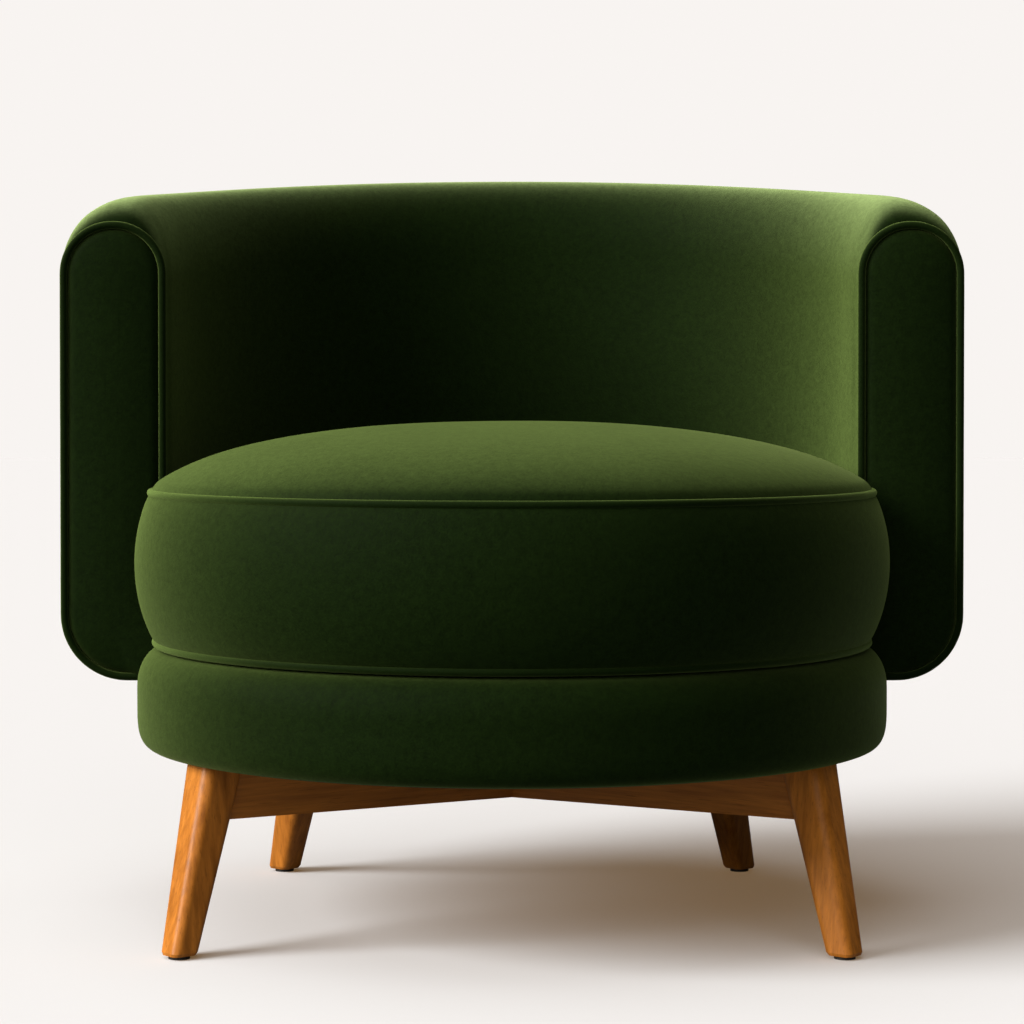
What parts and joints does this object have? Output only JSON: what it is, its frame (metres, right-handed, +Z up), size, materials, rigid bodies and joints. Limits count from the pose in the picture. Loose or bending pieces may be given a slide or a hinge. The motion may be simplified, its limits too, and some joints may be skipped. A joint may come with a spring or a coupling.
{
  "type": "round accent chair",
  "caption": "Low round barrel chair: padded half-ring back and arms around a thick loose seat cushion on a padded round base, carried by splayed tapered wooden legs on a lapped cross frame.",
  "frame": {"origin": "on the floor, at the middle of the chair's plan box", "axes": "+X to the right of someone facing the chair, +Y towards its back, +Z up"},
  "size_m": [0.816, 0.761, 0.6834],
  "materials": {
    "velvet": "short-pile velvet with a soft sheen",
    "piping": "velvet over cord",
    "leg_wood": "oiled warm brown hardwood",
    "panel_edge": "stained plywood edge",
    "frame_wood": "raw plywood and softwood",
    "padding": "cut foam",
    "webbing": "woven elastic webbing",
    "deck_cloth": "plain platform cloth",
    "zip_tape": "woven tape with coil teeth",
    "steel": "zinc plated",
    "zip_metal": "dark plated",
    "glide": "moulded nylon"
  },
  "bodies": {
    "chair": {"arm_panel_left": "velvet", "arm_panel_right": "velvet", "base_cover": "velvet", "wall_inside_cover": "velvet", "wall_outside_cover": "velvet", "arm_welt_left": "piping", "arm_welt_right": "piping", "leg_front_left": "leg_wood", "leg_front_right": "leg_wood", "leg_back_left": "leg_wood", "leg_back_right": "leg_wood", "cross_rail_a": "leg_wood", "cross_rail_b": "leg_wood", "base_panel": "panel_edge", "base_hoop": "frame_wood", "deck_ring": "frame_wood", "wall_bottom_rail": "frame_wood", "wall_top_rail": "frame_wood", "wall_posts": "frame_wood", "arm_post_left": "frame_wood", "arm_post_right": "frame_wood", "leg_dowels": "frame_wood", "base_padding": "padding", "deck_padding": "padding", "wall_padding": "padding", "webbing_across": "webbing", "webbing_front_to_back": "webbing", "deck_cloth": "deck_cloth", "frame_bolts": "steel", "frame_washers": "steel", "threaded_inserts": "steel", "base_screws": "steel", "deck_screws": "steel", "wall_brackets": "steel", "bracket_bolts": "steel", "arm_post_screws": "steel", "floor_glides": "glide"},
    "cushion": {"cushion_foam": "padding", "cushion_top_panel": "velvet", "cushion_boxing": "velvet", "cushion_bottom_panel": "velvet", "cushion_welt_upper": "piping", "cushion_welt_lower": "piping", "zip_tape": "zip_tape"},
    "zip_slider": {"zip_slider": "zip_metal"}
  },
  "joints": [
    {"name": "cushion_lift", "type": "slide", "parent": "chair", "child": "cushion", "axis": [0, 0, 1], "range_m": [0, 0.45]},
    {"name": "zip_run", "type": "hinge", "parent": "cushion", "child": "zip_slider", "pos_m": [0, -0.0275, 0.315], "axis": [0, 0, 1], "range_deg": [0, 96]}
  ]
}
